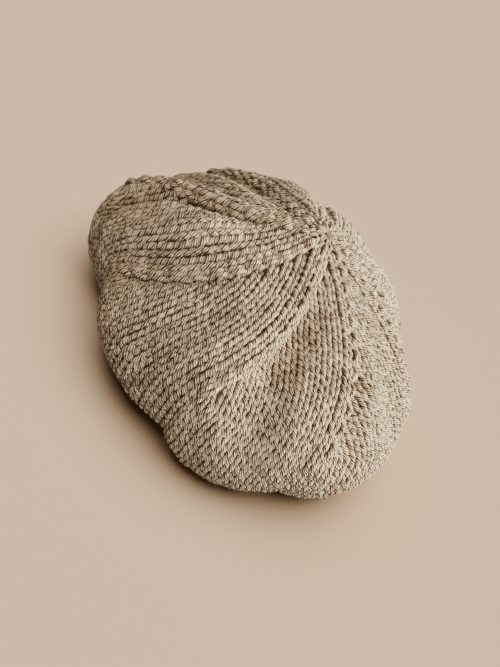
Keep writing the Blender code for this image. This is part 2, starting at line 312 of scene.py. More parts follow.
# ---- What a user would change ---------------------------------------------------------------------
class KnitSettings(bpy.types.PropertyGroup):
    """Sizes of the stitches."""

    wales_per_gore: IntProperty(
        name="Wales per gore", description="Columns of stitches in each gore at the rim",
        default=13, min=4, max=30)
    row_height: FloatProperty(
        name="Row height", description="Height of one row of stitches",
        default=0.00565, unit="LENGTH")
    centre_gap: FloatProperty(
        name="Centre gap", description="Distance of the last round's edge from the crown centre",
        default=0.0035, unit="LENGTH")
    yarn_radius: FloatProperty(
        name="Yarn radius", description="Radius of the yarn in the legs of a stitch",
        default=0.00168, unit="LENGTH")
    loop_height: FloatProperty(
        name="Loop height", description="Half the height of a loop, in rows",
        default=1.00)
    loop_bulge: FloatProperty(
        name="Loop bulge", description="How far the loops lean into a V, in wales",
        default=0.192)
    loop_depth: FloatProperty(
        name="Loop depth", description="Half the depth from a loop's legs to its head",
        default=0.0014, unit="LENGTH")
    wale_width: FloatProperty(
        name="Wale width", description="Width of a column of stitches where the yarn has its radius",
        default=0.0080, unit="LENGTH")
    plumping: FloatProperty(
        name="Plumping", description="How much the fluffy yarn fills wider stitches", default=0.75)
    # the haze is a dark sheet, mottled like short fibres: painted shade that shows between the stitches
    haze_depth: FloatProperty(
        name="Haze depth", description="Depth of the short fibres that show between the stitches",
        default=0.0018, unit="LENGTH")
    yarn_squeeze: FloatProperty(
        name="Yarn squeeze", description="Thickness of the yarn across the fabric, as a share of its width",
        default=0.92, subtype="FACTOR")
    points_per_stitch: IntProperty(
        name="Points per stitch", description="Points along the yarn in one stitch", default=16)
    yarn_sides: IntProperty(
        name="Yarn sides", description="Faces round the yarn", default=8, min=3)
    unevenness: FloatProperty(
        name="Unevenness", description="How much hand-made stitches differ", default=1.0, min=0.0)
    seed: IntProperty(
        name="Seed", description="Chooses how the stitches differ", default=7)


class BandSettings(bpy.types.PropertyGroup):
    """Sizes of the ribbed headband."""

    ribs: IntProperty(
        name="Ribs", description="Knit columns round the headband, with a purl column after each",
        default=36)
    rows: IntProperty(name="Rows", description="Rows of ribbing", default=4)
    rib_relief: FloatProperty(
        name="Rib relief", description="How far the knit columns stand beyond the purl columns",
        default=0.0011, unit="LENGTH")
    yarn_radius: FloatProperty(
        name="Yarn radius", description="Radius of the yarn in the ribbing",
        default=0.0015, unit="LENGTH")


class YarnSettings(bpy.types.PropertyGroup):
    """Colours and twist of the yarn."""

    # the palest fibres' colour also makes the painted highlight on the plies' crests
    light: FloatVectorProperty(
        name="Light fibres", description="Colour of the palest fibres", subtype="COLOR",
        size=3, default=(1.0, 0.78, 0.48), min=0.0, max=1.0)
    middle: FloatVectorProperty(
        name="Main fibres", description="Colour of most of the fibres", subtype="COLOR",
        size=3, default=(0.278, 0.188, 0.113), min=0.0, max=1.0)
    # the dark colour is also the painted shade between the plies and on the yarn's sides
    dark: FloatVectorProperty(
        name="Dark fibres", description="Colour of the brown fibres and between the plies",
        subtype="COLOR", size=3, default=(0.064, 0.036, 0.020), min=0.0, max=1.0)
    plies: IntProperty(name="Plies", description="Strands that the yarn is twisted from", default=5)
    twist_length: FloatProperty(
        name="Twist length", description="Length of yarn in which a ply goes round once",
        default=0.0095, unit="LENGTH")
    ply_depth: FloatProperty(
        name="Ply depth", description="Depth of the grooves between the plies",
        default=0.0010, unit="LENGTH")
    roughness: FloatProperty(
        name="Roughness", description="Roughness of the fibres", default=0.78, subtype="FACTOR")
    sheen: FloatProperty(
        name="Sheen", description="Strength of the soft shine of the fibre ends",
        default=0.10, subtype="FACTOR")


class StageSettings(bpy.types.PropertyGroup):
    """The floor's colour and the camera."""

    floor_colour: FloatVectorProperty(
        name="Floor colour", description="Colour of the studio floor", subtype="COLOR",
        size=3, default=(0.84, 0.56, 0.33), min=0.0, max=1.0)
    camera_height: FloatProperty(
        name="Camera elevation", description="Angle of the camera above the beret's level",
        default=math.radians(35.42), subtype="ANGLE")
    camera_roll: FloatProperty(
        name="Camera roll", description="Turn of the camera about its own line of sight",
        default=math.radians(38.07), subtype="ANGLE")
    camera_distance: FloatProperty(
        name="Camera distance", description="From the camera to the point it aims at",
        default=0.6394, unit="LENGTH")
    lens: FloatProperty(name="Lens", description="Focal length in mm", default=50.63)
    aim: FloatVectorProperty(
        name="Aim", description="What the camera aims at, right of and above the crown's middle",
        size=2, default=(-0.0256, -0.03385), unit="LENGTH")
    aim_level: FloatProperty(
        name="Aim level", description="Height of the crown's middle", default=0.077, unit="LENGTH")


# ---- Stitches ---------------------------------------------------------------------------------------
# Sideways is in wales, upward in rows and depth in metres. A thickness is a share of the yarn's radius.
TWIST_STARTS = 64               # a round of yarn starts fewer whole turns of its twist on than this
UNEVEN_BULGE = 0.12             # how much hand-made stitches differ: their lean into a V,
UNEVEN_LEAN = 0.045             # their head's place sideways
UNEVEN_HEIGHT = 0.05            # and upward,
UNEVEN_DEPTH = 0.00028          # the depth of their legs
UNEVEN_YARN = 0.07              # and their thickness
HEAD_YARN = 0.90                # thickness at a loop's head and foot
LEG_YARN = 0.12                 # how much thicker its legs are
CENTRE_YARN = 0.62              # thickness at the crown centre
CENTRE_REACH = 0.022            # length from the centre where the yarn has its full thickness
PLUMP_LIMITS = (0.7, 1.6)       # shares of the usual wale width past which the yarn stays the same
SEATING = 0.4                   # share of the loop depth that the yarn is laid below the surface
END_GAP = 0.0002                # length that the last round keeps from the headband

# A gore's low line is the one of its own row in FOLDS, and its high line is the next row's. A decrease
# knits two stitches beside the low line as one: the one over it leans across the other and stands out,
# and the one under it goes behind. Beside both lines the loops' heads also lean towards the line, and
# their legs stand up as a chain, on the low side only in the rounds between the decreases.
PULL_SPAN = (-0.60, 0.85)       # rows over which a decrease pulls its stitches aside
OVER_LEAN, OVER_RISE, OVER_RELIEF, OVER_YARN = 0.74, 0.22, 0.0021, 1.16
UNDER_LEAN, UNDER_DEPTH = 0.15, 0.0012
HIGH_LEAN, HIGH_RELIEF, HIGH_YARN = 0.05, 0.0011, 1.10
LOW_LEAN, LOW_RELIEF, LOW_DEPTH = 0.10, 0.0014, 0.0012

RIB_POINTS = 12                 # points along the yarn in one stitch of the headband's rib
RIB_BULGE = 0.17                # how far its loops lean into a V
RIB_LOOP_HEIGHT = 0.80          # half the height of a loop
RIB_SETTLE = 2.3                # turn past which a loop comes back to the middle of the fabric
RIB_CROWDING = 0.12             # how much wider a knit column's loops are, and narrower a purl one's
RIB_UNEVEN_LEVEL = 0.0002       # how much its stitches differ in level
RIB_UNEVEN_YARN = 0.04          # and in thickness
EDGE_YARN, EDGE_LEVEL = 1.10, 1.15    # thickness and height of the cast-on edge's yarn
EDGE_SWAY, EDGE_WAVE = 0.0007, 0.0003
RIB_SIDES = 6                   # faces round its yarn
RIB_PAINTED_SHADE = 0.92                # painted shade: its colours, as a share of the crown's, a darker copy of the same yarn


def yarn_paths(name, rounds, rng, lead):
    """A mesh of edges alone along closed rounds of yarn, with what the sweep needs as attributes. Each
    round is its points, the surface normals there and the yarn's thickness."""
    edges, along = [], []
    start = 0
    for points, _, _ in rounds:
        count = len(points)
        index = np.arange(count)
        edges.append(np.stack([start + index, start + (index + 1) % count], axis=-1))
        steps = np.linalg.norm(np.roll(points, -1, axis=0) - points, axis=1)
        whole = steps.sum()
        turns = max(1, round(whole / lead))
        turned = np.append(0.0, np.cumsum(steps)[:-1]) / whole * turns * lead
        along.append(turned + lead * rng.integers(0, TWIST_STARTS))
        start += count
    points, normals, thickness = [np.concatenate(column) for column in zip(*rounds)]
    edges = np.concatenate(edges)
    data = bpy.data.meshes.new(name)
    data.vertices.add(len(points))
    data.vertices.foreach_set("co", points.astype(np.float32).ravel())
    data.edges.add(len(edges))
    data.edges.foreach_set("vertices", edges.astype(np.int32).ravel())
    for title, kind, field, values in (("outward", "FLOAT_VECTOR", "vector", normals),
                                       ("thickness", "FLOAT", "value", thickness),
                                       ("along", "FLOAT", "value", np.concatenate(along))):
        made = data.attributes.new(title, kind, "POINT")
        made.data.foreach_set(field, values.astype(np.float32).ravel())
    data.update()
    return data


def wales_in_row(row, full):
    """Stitches in each gore in a round: one more in every second round away from the centre."""
    return min(row // 2 + 1, full)


def crown_round(row, knit, rng):
    """The yarn of one round of the crown."""
    full = knit.wales_per_gore
    wales = wales_in_row(row, full)
    count = knit.points_per_stitch
    turn = -math.pi + 2.0 * math.pi * np.arange(count) / count
    stitches = GORES * wales
    wild = knit.unevenness
    uneven = rng.normal(0.0, 1.0, (5, stitches, 1))
    gore = np.repeat(np.arange(GORES), wales)[:, None]
    wale = np.tile(np.arange(wales)[::-1], GORES)[:, None]
    raised = (1.0 + np.cos(turn)) / 2.0
    bulge = knit.loop_bulge * (1.0 + UNEVEN_BULGE * wild * uneven[0])
    sideways = turn / (2.0 * math.pi) + bulge * np.sin(2.0 * turn)
    sideways = sideways + UNEVEN_LEAN * wild * uneven[1] * raised
    upward = knit.loop_height * np.cos(turn) + UNEVEN_HEIGHT * wild * uneven[2] * raised
    legs = (1.0 - np.cos(2.0 * turn)) / 2.0
    depth = -knit.loop_depth * np.cos(2.0 * turn) + UNEVEN_DEPTH * wild * uneven[3] * legs

    decreasing = row % 2 == 0 and 1 <= row // 2 <= full - 1
    bold = np.ones_like(wale, dtype=float)
    if decreasing:
        pulled = smooth_step(upward, *PULL_SPAN)
        over, under = wale == wales - 1, wale == wales - 2
        sideways = sideways + OVER_LEAN * over * pulled - UNDER_LEAN * under * pulled
        upward = upward + OVER_RISE * over * pulled
        depth = depth + OVER_RELIEF * over * legs - UNDER_DEPTH * under * pulled
        bold = np.where(over, OVER_YARN, bold)
    hump = 1.0 - (turn / math.pi) ** 2
    beside_high_line = (wale == 0) & (row <= 2 * full)
    beside_low_line = (wale == wales - 1) & (row <= 2 * full) & (wales > 1)
    sideways = sideways + HIGH_LEAN * beside_high_line * hump - LOW_LEAN * beside_low_line * hump
    depth = depth + HIGH_RELIEF * beside_high_line * legs
    if not decreasing:
        depth = depth + beside_low_line * (LOW_RELIEF * legs - LOW_DEPTH)
    bold = np.where(beside_high_line, HIGH_YARN, bold)

    from_high_line = wale + 0.5 - sideways
    row_place = row - upward
    width = np.clip((row_place + 1.5) / 2.0, 0.5, full)
    across = 1.0 - from_high_line / width
    last_share = 1.0 - (wales - 1) / width
    across = np.where(from_high_line > wales - 1, last_share * (wales - from_high_line), across)
    length = knit.centre_gap + (row_place + 0.5) * knit.row_height
    length = np.clip(length, CLOTH_START, PROFILE_LENGTH - END_GAP)
    gore = np.broadcast_to(gore, across.shape)
    across, cloth = cloth_across(gore, across, length)
    normals = crown_normals(gore, across, length)
    points = crown_points(gore, across, length)
    points = points + normals * (depth - knit.loop_depth * SEATING - knit.yarn_radius)[..., None]
    radius = knit.yarn_radius * (HEAD_YARN + LEG_YARN * legs) * (1.0 + UNEVEN_YARN * wild * uneven[4])
    plumpness = np.clip(cloth / width / knit.wale_width, *PLUMP_LIMITS) ** knit.plumping
    radius = radius * plumpness * bold
    radius = radius * (CENTRE_YARN + (1.0 - CENTRE_YARN) * smooth_step(length, 0.0, CENTRE_REACH))
    points[..., 2] = np.maximum(points[..., 2], radius)
    return points.reshape(-1, 3), normals.reshape(-1, 3), radius.reshape(-1)


def band_round(row, knit, band, rng):
    """The yarn of one round of the one by one rib: knit columns outward, purl columns inward."""
    turn = -math.pi + 2.0 * math.pi * np.arange(RIB_POINTS) / RIB_POINTS
    stitches = 2 * band.ribs
    column = np.arange(stitches)[:, None]
    side = np.where(column % 2 == 0, 1.0, -1.0)
    uneven = rng.normal(0.0, 1.0, (2, stitches, 1))
    sideways = turn / (2.0 * math.pi) + RIB_BULGE * np.sin(2.0 * turn)
    height = (BAND_BOX[1].z - BAND_BOX[0].z) / band.rows
    level = BAND_BOX[0].z + height * (row + 0.5 + RIB_LOOP_HEIGHT * np.cos(turn))
    level = np.clip(level + RIB_UNEVEN_LEVEL * uneven[0], BAND_BOX[0].z + band.yarn_radius,
                    BAND_BOX[1].z)
    settle = 1.0 - smooth_step(np.abs(turn), RIB_SETTLE, math.pi)
    depth = side * (-knit.loop_depth * np.cos(2.0 * turn) + band.rib_relief) * settle
    widened = sideways * (1.0 + RIB_CROWDING * side * settle)
    azimuth = 2.0 * math.pi * (column + 0.5 + widened) / stitches
    points = around_axis(BAND_MIDDLE_RADIUS + depth, azimuth, level)
    radius = np.broadcast_to(band.yarn_radius * (1.0 + RIB_UNEVEN_YARN * uneven[1]), azimuth.shape)
    return points.reshape(-1, 3), level_normals(azimuth).reshape(-1, 3), radius.reshape(-1)


def cast_on_round(band):
    """The thick cast-on edge that the headband stands on."""
    count = RIB_POINTS * band.ribs
    azimuth = 2.0 * math.pi * np.arange(count) / count
    wave = np.sin(azimuth * band.ribs * 2.0)
    ring = BAND_MIDDLE_RADIUS + EDGE_SWAY * np.sin(azimuth * band.ribs)
    level = BAND_BOX[0].z + band.yarn_radius * EDGE_LEVEL + EDGE_WAVE * (1.0 + wave)
    return (around_axis(ring, azimuth, level), level_normals(azimuth),
            np.full(count, band.yarn_radius * EDGE_YARN))


# ---- The sweep --------------------------------------------------------------------------------------
def feed(tree, node, inputs):
    """Link each of a node's inputs to an output, or set it to a value."""
    for key, value in dict(inputs).items():
        if isinstance(value, bpy.types.NodeSocket):
            tree.links.new(value, node.inputs[key])
        else:
            node.inputs[key].default_value = value
    return node


def new_node(tree, kind, inputs=(), **settings):
    """A new node with these settings and inputs."""
    made = tree.nodes.new(kind)
    for name, value in settings.items():
        setattr(made, name, value)
    return feed(tree, made, inputs)


def yarn_sweep_tree():
    """Geometry Nodes that sweep a round section along the yarn and keep where round it a point is."""
    tree = bpy.data.node_groups.new("yarn sweep", "GeometryNodeTree")
    for title, kind, default in (("Geometry", "NodeSocketGeometry", None), ("Sides", "NodeSocketInt", 8),
                                 ("Squeeze", "NodeSocketFloat", 0.9),
                                 ("Material", "NodeSocketMaterial", None)):
        socket = tree.interface.new_socket(title, in_out="INPUT", socket_type=kind)
        if default is not None:
            socket.default_value = default
    tree.interface.new_socket("Geometry", in_out="OUTPUT", socket_type="NodeSocketGeometry")

    def made(kind, output, inputs=(), **settings):
        return new_node(tree, kind, inputs, **settings).outputs[output]

    def attribute(name, kind):
        return made("GeometryNodeInputNamedAttribute", "Attribute", {"Name": name}, data_type=kind)

    def keep(name, geometry, value):
        return made("GeometryNodeStoreNamedAttribute", "Geometry",
                    {"Geometry": geometry, "Name": name, "Value": value},
                    data_type="FLOAT_VECTOR", domain="POINT")

    given = new_node(tree, "NodeGroupInput").outputs
    curve = made("GeometryNodeMeshToCurve", "Curve", {"Mesh": given["Geometry"]})
    curve = made("GeometryNodeSetCurveNormal", "Curve",
                 {"Curve": curve, "Normal": attribute("outward", "FLOAT_VECTOR")}, mode="FREE")

    section = made("GeometryNodeCurvePrimitiveCircle", "Curve",
                   {"Radius": 1.0, "Resolution": given["Sides"]}, mode="RADIUS")
    section = keep("round_place", section, made("GeometryNodeInputPosition", "Position"))
    flatness = made("ShaderNodeCombineXYZ", "Vector", {"X": given["Squeeze"], "Y": 1.0, "Z": 1.0})
    section = made("GeometryNodeTransform", "Geometry", {"Geometry": section, "Scale": flatness})
    mesh = made("GeometryNodeCurveToMesh", "Mesh", {
        "Curve": curve, "Profile Curve": section, "Scale": attribute("thickness", "FLOAT")})

    around = new_node(tree, "ShaderNodeSeparateXYZ", {"Vector": attribute("round_place", "FLOAT_VECTOR")})
    strand = made("ShaderNodeCombineXYZ", "Vector", {
        "X": around.outputs["X"], "Y": around.outputs["Y"], "Z": attribute("along", "FLOAT")})
    mesh = keep("strand", mesh, strand)
    mesh = made("GeometryNodeSetShadeSmooth", "Geometry", {"Geometry": mesh})
    mesh = made("GeometryNodeRealizeInstances", "Geometry", {"Geometry": mesh})
    mesh = made("GeometryNodeSetMaterial", "Geometry", {"Geometry": mesh, "Material": given["Material"]})
    new_node(tree, "NodeGroupOutput", {"Geometry": mesh})
    return tree


def socket_identifier(tree, name):
    """The identifier of a node group's input, which a modifier is set by."""
    for item in tree.interface.items_tree:
        if item.item_type == "SOCKET" and item.in_out == "INPUT" and item.name == name:
            return item.identifier
    raise RuntimeError(f"the node group has no input named {name}")


def add_object(name, data, context):
    """Put a new object with this data in the scene."""
    made = bpy.data.objects.new(name, data)
    context.scene.collection.objects.link(made)
    return made


def sweep_yarn(name, paths, sides, squeeze, material, context):
    """Sweep the yarn along its paths and return the plain mesh object."""
    maker = add_object(name + " paths", paths, context)
    modifier = maker.modifiers.new("yarn sweep", "NODES")
    modifier.node_group = bpy.data.node_groups.get("yarn sweep") or yarn_sweep_tree()
    for title, value in (("Sides", sides), ("Squeeze", squeeze), ("Material", material)):
        modifier[socket_identifier(modifier.node_group, title)] = value
    graph = context.evaluated_depsgraph_get()
    data = bpy.data.meshes.new_from_object(maker.evaluated_get(graph), depsgraph=graph)
    bpy.data.objects.remove(maker)
    data.name = name
    for spare in ("outward", "thickness", "along", "round_place"):
        if spare in data.attributes:
            data.attributes.remove(data.attributes[spare])
    return add_object(name, data, context)


# ---- Materials --------------------------------------------------------------------------------------
class Nodes:
    """Short calls for building a material's nodes."""

    def __init__(self, name):
        self.material = bpy.data.materials.new(name)
        self.material.use_nodes = True
        self.tree = self.material.node_tree
        self.place = new_node(self.tree, "ShaderNodeTexCoord").outputs["Object"]

    def math(self, operation, *values):
        """A Math node's result."""
        return new_node(self.tree, "ShaderNodeMath", enumerate(values),
                        operation=operation).outputs["Value"]

    def noise(self, vector, scale, detail=2.0, roughness=0.5):
        """A noise texture's factor."""
        inputs = {"Vector": vector, "Scale": scale, "Detail": detail, "Roughness": roughness}
        return new_node(self.tree, "ShaderNodeTexNoise", inputs).outputs["Fac"]

    def ramp(self, factor, places, colours, shade=1.0):
        """A colour ramp's colour: colours at places on it, each made darker by shade."""
        made = new_node(self.tree, "ShaderNodeValToRGB", {"Fac": factor})
        elements = made.color_ramp.elements
        while len(elements) < len(places):
            elements.new(0.5)
        for element, place, colour in zip(elements, places, colours):
            element.position = place
            element.color = (*[value * shade for value in colour], 1.0)
        return made.outputs["Color"]

    def bump(self, height, distance):
        """A bump node's normal."""
        inputs = {"Height": height, "Distance": distance, "Strength": 1.0}
        return new_node(self.tree, "ShaderNodeBump", inputs).outputs["Normal"]

    def finish(self, colour, roughness, specular, **inputs):
        """Give the material its surface, and return it."""
        shader = self.tree.nodes["Principled BSDF"]
        feed(self.tree, shader, {"Base Color": colour, "Roughness": roughness,
                                 "Specular IOR Level": specular, **inputs})
        return self.material


# The yarn's noise patterns: scale, detail and roughness
WANDER_NOISE = (260.0, 1.0)
FIBRE_NOISE = (3.1, 3.0, 0.6)
FINE_NOISE = (9.0, 2.0, 0.6)
HEATHER_NOISE = (95.0, 2.0)
DYE_NOISE = (17.0, 2.0)
FIBRE_SPREAD = 1.6              # how far the fibres' noise changes round the yarn
FIBRE_RUN = 140.0               # and in a metre along it
PLY_WANDER = 3.0                # how far the grooves between the plies wander
PLY_ROUNDNESS = 0.42            # below 1 the plies are broad and the grooves narrow
SIDE_SHADE_POWER = 1.5             # painted shade: how fast the yarn's colour darkens from its outer side towards its sides, where neighbouring yarns shade it
# The yarn's tone is the sum of these shares, and each colour has its own tone. The ply share paints shade
# into the grooves between the plies and a painted highlight onto their crests, and the side share paints
# shade on the yarn's sides
TONE_START = -0.58
PLY_SHADE_AND_HIGHLIGHT_TONE = 0.95
SIDE_SHADE_TONE = 0.55
PLY_CHANCE_TONE = 0.50
FIBRE_TONE, FINE_TONE, HEATHER_TONE, DYE_TONE = 1.2, 0.7, 0.7, 0.3
COLOUR_TONES = (0.06, 0.50, 0.84)    # the dark, main and light fibres'
PLY_HEIGHT, FIBRE_HEIGHT, FINE_HEIGHT = 0.70, 0.30, 0.16
YARN_SPECULAR = 0.14
SHEEN_ROUGHNESS = 0.45
SHEEN_TINT = (1.0, 0.84, 0.62, 1.0)


def yarn_material(name, yarn, shade=1.0):
    """Plied, heathered wool: grooves between twisted plies, and fibres that run along them. Its colour holds
    painted shade in the grooves and on the yarn's sides, and a painted highlight on the plies' crests.
    """
    made = Nodes(name)
    strand = new_node(made.tree, "ShaderNodeAttribute", attribute_name="strand").outputs["Vector"]
    outside, aside, along = new_node(made.tree, "ShaderNodeSeparateXYZ", {"Vector": strand}).outputs
    angle = made.math("ARCTAN2", aside, outside)
    turned = made.math("ADD", angle, made.math("MULTIPLY", along, 2.0 * math.pi / yarn.twist_length))

    wander = made.math("SUBTRACT", made.noise(made.place, *WANDER_NOISE), 0.5)
    ply_turn = made.math("MULTIPLY", turned, float(yarn.plies))
    ply_turn = made.math("ADD", ply_turn, made.math("MULTIPLY", wander, PLY_WANDER))
    ridge = made.math("MULTIPLY_ADD", made.math("COSINE", ply_turn), 0.5, 0.5)
    ridge = made.math("POWER", ridge, PLY_ROUNDNESS)

    fibre_place = new_node(made.tree, "ShaderNodeCombineXYZ", {
        "X": made.math("MULTIPLY", made.math("COSINE", turned), FIBRE_SPREAD),
        "Y": made.math("MULTIPLY", made.math("SINE", turned), FIBRE_SPREAD),
        "Z": made.math("MULTIPLY", along, FIBRE_RUN)}).outputs["Vector"]
    fibre = made.noise(fibre_place, *FIBRE_NOISE)
    fine = made.noise(fibre_place, *FINE_NOISE)

    # painted shade: the yarn's colour is lighter on its outer side and darker on its sides, where
    # neighbouring yarns shade it
    painted_side_shade = made.math("POWER", made.math("MULTIPLY_ADD", outside, 0.5, 0.5), SIDE_SHADE_POWER)
    # painted shade in the grooves between the plies and a painted highlight on their crests
    tone = made.math("MULTIPLY_ADD", ridge, PLY_SHADE_AND_HIGHLIGHT_TONE, TONE_START)
    tone = made.math("MULTIPLY_ADD", painted_side_shade, SIDE_SHADE_TONE, tone)
    ply = made.math("DIVIDE", ply_turn, 2.0 * math.pi)
    ply = made.math("FLOOR", made.math("WRAP", ply, float(yarn.plies), 0.0))
    chance = new_node(made.tree, "ShaderNodeTexWhiteNoise", {"W": ply}, noise_dimensions="1D")
    for pattern, weight in ((chance.outputs["Value"], PLY_CHANCE_TONE), (fibre, FIBRE_TONE),
                            (fine, FINE_TONE),
                            (made.noise(made.place, *HEATHER_NOISE), HEATHER_TONE),
                            (made.noise(made.place, *DYE_NOISE), DYE_TONE)):
        tone = made.math("MULTIPLY_ADD", made.math("SUBTRACT", pattern, 0.5), weight, tone)
    colour = made.ramp(tone, COLOUR_TONES, (yarn.dark, yarn.middle, yarn.light), shade)

    height = made.math("MULTIPLY_ADD", ridge, PLY_HEIGHT, made.math("MULTIPLY", fibre, FIBRE_HEIGHT))
    height = made.math("ADD", height, made.math("MULTIPLY", fine, FINE_HEIGHT))
    return made.finish(colour, yarn.roughness, YARN_SPECULAR, **{
        "Normal": made.bump(height, yarn.ply_depth), "Sheen Weight": yarn.sheen,
        "Sheen Roughness": SHEEN_ROUGHNESS, "Sheen Tint": SHEEN_TINT})


HAZE_FIBRES = (900.0, 3.0, 0.7)
HAZE_CLUMPS = (130.0, 2.0)
HAZE_SHARE = 0.7                # the fibres' share of the haze's tone; the clumps have the rest
HAZE_TONES = (0.3, 0.75)
HAZE_PAINTED_SHADE = 0.4                # painted shade: its palest colour, as a share of the main fibres', which keeps the sheet dark where it shows between the stitches
HAZE_BUMP = 0.0006


def painted_shade_haze_material(name, yarn):
    """A dark sheet in the depth of the fabric, mottled like short fibres: painted shade that shows between
    the stitches.
    """
    made = Nodes(name)
    clumps = made.math("MULTIPLY", made.noise(made.place, *HAZE_CLUMPS), 1.0 - HAZE_SHARE)
    tone = made.math("MULTIPLY_ADD", made.noise(made.place, *HAZE_FIBRES), HAZE_SHARE, clumps)
    colour = made.ramp(tone, HAZE_TONES, (yarn.dark, [HAZE_PAINTED_SHADE * value for value in yarn.middle]))
    return made.finish(colour, 0.95, 0.1, Normal=made.bump(tone, HAZE_BUMP))


def floor_material(name, stage):
    """A matt painted studio floor with a hardly visible mottle."""
    made = Nodes(name)
    worn = [value * FLOOR_WEAR for value in stage.floor_colour]
    # a Mix node's inputs share their names, so its colours go by number
    inputs = {0: made.noise(made.place, 3.0, 3.0), 6: (*stage.floor_colour, 1.0), 7: (*worn, 1.0)}
    mottle = new_node(made.tree, "ShaderNodeMix", inputs, data_type="RGBA").outputs[2]
    return made.finish(mottle, 0.9, 0.1)


# ---- Operators --------------------------------------------------------------------------------------
def shared_material(name, maker, *values):
    """A material by name, made once."""
    return bpy.data.materials.get(name) or maker(name, *values)


def stands_for(piece, node):
    """The piece rides on the beret's only body and takes the place of its solid."""
    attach(piece, "root")
    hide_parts(node)


def crown_rows(knit):
    """How many rounds reach from the crown centre to the headband."""
    return int((PROFILE_LENGTH - knit.centre_gap) / knit.row_height)


# The crown's pieces, each with the first of its rounds, counted from the centre
CROWN_PIECES = [("crown_centre", 0), ("crown_top", 17), ("crown_shoulder", 23), ("crown_rim", 29),
                ("crown_underside", 35)]


class BERET_OT_knit_crown(bpy.types.Operator):
    """Knit the crown's rounds, from the centre out over the rim and in to the headband"""

    bl_idname = "beret.knit_crown"
    bl_label = "Knit the Crown"

    def execute(self, context):
        knit = context.scene.beret_knit
        yarn = context.scene.beret_yarn
        rng = np.random.default_rng(knit.seed)
        material = shared_material("heather_yarn", yarn_material, yarn)
        ends = [first for _, first in CROWN_PIECES[1:]] + [crown_rows(knit)]
        for (name, first), end in zip(CROWN_PIECES, ends):
            rounds = [crown_round(row, knit, rng) for row in range(first, end)]
            paths = yarn_paths(name, rounds, rng, yarn.twist_length)
            piece = sweep_yarn(name, paths, knit.yarn_sides, knit.yarn_squeeze, material, context)
            stands_for(piece, "crown")
        return {"FINISHED"}


HAZE_COLUMNS = 16               # faces of the haze across a gore
HAZE_ROWS = 72                  # and from the centre to the headband
HAZE_START, HAZE_END = 0.001, 0.0015    # lengths that it keeps from the centre and the headband
HAZE_WALL = 0.0008
HAZE_CLEARANCE = 2.7            # yarn radii that it stays above the floor, behind the lowest stitches


class BERET_OT_fill_fabric(bpy.types.Operator):
    """Fill the depth of the crown's fabric with a dark sheet, mottled like short fibres, that paints the
    shade between the stitches
    """

    bl_idname = "beret.fill_fabric"
    bl_label = "Fill the Fabric"

    def execute(self, context):
        knit = context.scene.beret_knit
        columns = GORES * HAZE_COLUMNS
        mesh = bmesh.new()
        bmesh.ops.create_grid(mesh, x_segments=columns, y_segments=HAZE_ROWS, size=1.0)
        column = np.array([round((vertex.co.x + 1.0) / 2.0 * columns) for vertex in mesh.verts])
        row = np.array([round((vertex.co.y + 1.0) / 2.0 * HAZE_ROWS) for vertex in mesh.verts])
        gore, station = np.divmod(column % columns, HAZE_COLUMNS)
        across = station / HAZE_COLUMNS
        length = HAZE_START + (PROFILE_LENGTH - HAZE_START - HAZE_END) * row / HAZE_ROWS
        points = crown_points(gore, across, length)
        points = points - knit.haze_depth * crown_normals(gore, across, length)
        points[:, 2] = np.maximum(points[:, 2], HAZE_CLEARANCE * knit.yarn_radius)
        points[row == 0] = points[row == 0].mean(axis=0)
        for vertex, point in zip(mesh.verts, points):
            vertex.co = point
        bmesh.ops.remove_doubles(mesh, verts=mesh.verts, dist=1e-5)
        bmesh.ops.recalc_face_normals(mesh, faces=mesh.faces)
        data = bpy.data.meshes.new("crown_haze_painted_shade")
        mesh.to_mesh(data)
        mesh.free()
        data.shade_smooth()
        data.materials.append(shared_material("fibre_haze_painted_shade", painted_shade_haze_material, context.scene.beret_yarn))
        piece = add_object("crown_haze_painted_shade", data, context)
        wall = piece.modifiers.new("haze wall", "SOLIDIFY")
        wall.thickness = HAZE_WALL
        wall.offset = -1.0
        stands_for(piece, "crown")
        return {"FINISHED"}


class BERET_OT_knit_band(bpy.types.Operator):
    """Knit the ribbed headband and its cast-on edge"""

    bl_idname = "beret.knit_band"
    bl_label = "Knit the Headband"

    def execute(self, context):
        knit = context.scene.beret_knit
        band = context.scene.beret_band
        yarn = context.scene.beret_yarn
        rng = np.random.default_rng(knit.seed + 1)
        # the headband's yarn is the crown's yarn made darker: painted shade
        material = shared_material("ribbed_yarn", yarn_material, yarn, RIB_PAINTED_SHADE)
        rounds = [band_round(row, knit, band, rng) for row in range(band.rows)]
        paths = yarn_paths("band_rib", rounds + [cast_on_round(band)], rng, yarn.twist_length)
        piece = sweep_yarn("band_rib", paths, RIB_SIDES, 1.0, material, context)
        stands_for(piece, "band")
        return {"FINISHED"}


# Soft lights on the beret: power in W, side in m, colour, azimuth and elevation in degrees
STUDIO_LIGHTS = [
    ("key", 68.0, 0.55, (1.0, 0.98, 0.87), 108.0, 28.0),
    ("front", 9.5, 0.55, (0.92, 0.90, 1.0), 30.0, 28.0),
    ("top", 8.5, 0.80, (1.0, 0.95, 0.92), 0.0, 68.0),
    ("low", 4.0, 0.55, (1.0, 0.92, 0.84), -20.0, 9.0),
    ("back", 10.0, 0.80, (1.0, 0.97, 0.92), 215.0, 25.0),
]
LIGHT_DISTANCE = 1.35
LIGHT_AIM_LEVEL = 0.06
FLOOR_REACH = 6.0               # half the floor's side
FLOOR_WEAR = 0.985              # how dark its mottle is, as a share of its colour
WASH_POWER = 4.3                # the soft light that only the floor gets
WASH_ANGLE = math.radians(80.0)
SKY_COLOUR = (1.0, 0.93, 0.84, 1.0)
SKY_STRENGTH = 0.04


def direction(azimuth, elevation):
    """The unit vector at an azimuth and an elevation, in radians."""
    return Vector((math.cos(elevation) * math.sin(azimuth), -math.cos(elevation) * math.cos(azimuth),
                   math.sin(elevation)))


